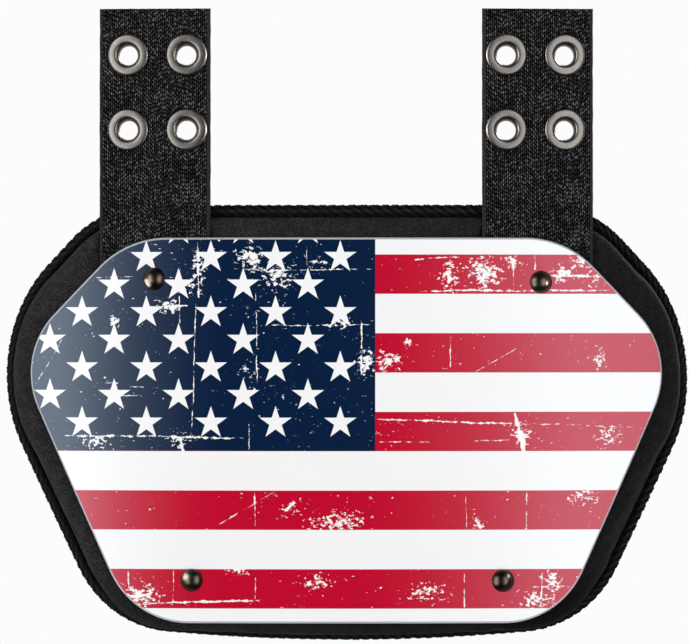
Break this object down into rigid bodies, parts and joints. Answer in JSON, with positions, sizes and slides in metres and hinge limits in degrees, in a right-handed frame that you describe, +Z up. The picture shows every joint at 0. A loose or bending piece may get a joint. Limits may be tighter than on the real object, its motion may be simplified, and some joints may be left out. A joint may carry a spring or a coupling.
{
  "type": "football back plate",
  "caption": "Curved hard plastic plate riveted over a fabric-bound foam pad, with webbing straps and metal grommets for lacing it below shoulder pads.",
  "frame": {"origin": "midway between the two straps, level with the middle of the grommet rows, at the middle of the webbing's thickness", "axes": "+Z up as it hangs when worn, -Y the way the printed front faces, +X to the right as seen from the front"},
  "size_m": [0.3032, 0.0483, 0.2808],
  "materials": {
    "plate": "glossy moulded sheet, printed in front, scuffed",
    "pad_cover": "black knit over foam",
    "binding_tape": "black ribbed twill tape",
    "webbing": "black woven webbing with light flecks",
    "grommet_metal": "satin nickel plate",
    "rivet_metal": "dark polished gunmetal"
  },
  "bodies": {
    "root": {"back_plate": "plate", "foam_pad": "pad_cover", "edge_binding": "binding_tape", "strap_left": "webbing", "strap_right": "webbing", "grommet_left_upper_outer": "grommet_metal", "grommet_left_upper_inner": "grommet_metal", "grommet_left_lower_outer": "grommet_metal", "grommet_left_lower_inner": "grommet_metal", "grommet_right_upper_outer": "grommet_metal", "grommet_right_upper_inner": "grommet_metal", "grommet_right_lower_outer": "grommet_metal", "grommet_right_lower_inner": "grommet_metal", "rivet_upper_left": "rivet_metal", "rivet_upper_right": "rivet_metal", "rivet_lower_left": "rivet_metal", "rivet_lower_right": "rivet_metal"}
  },
  "joints": []
}
